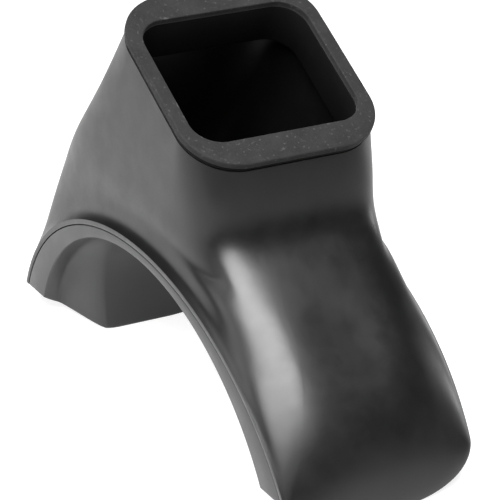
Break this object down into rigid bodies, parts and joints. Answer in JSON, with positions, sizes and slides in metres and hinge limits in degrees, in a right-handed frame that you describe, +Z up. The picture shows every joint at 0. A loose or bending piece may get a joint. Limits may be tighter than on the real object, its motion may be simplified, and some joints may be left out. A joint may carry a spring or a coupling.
{
  "type": "dryer diffuser",
  "caption": "Saddle-shaped hair dryer diffuser: a tilted square neck with a soft collar takes the dryer, and a hollow arch spreads its air over the head.",
  "frame": {"origin": "on the floor plane under the middle of the saddle, at the bottom centre of the overall box", "axes": "+Z up, +X from the far leg to the leg that the neck leans towards, +Y across the saddle towards its rounded rear edge corners"},
  "size_m": [0.2001, 0.0722, 0.1323],
  "materials": {
    "shell_plastic": "satin black",
    "liner_plastic": "satin black",
    "plate_plastic": "matte black",
    "collar_foam": "soft closed-cell foam, matte dark grey",
    "screw_steel": "zinc plated"
  },
  "bodies": {
    "root": {"outer_shell": "shell_plastic", "inner_liner": "liner_plastic", "collar_plate": "plate_plastic", "collar_pad": "collar_foam", "air_baffle": "plate_plastic", "liner_screw_1": "screw_steel", "liner_screw_2": "screw_steel", "liner_screw_3": "screw_steel", "liner_screw_4": "screw_steel"}
  },
  "joints": []
}
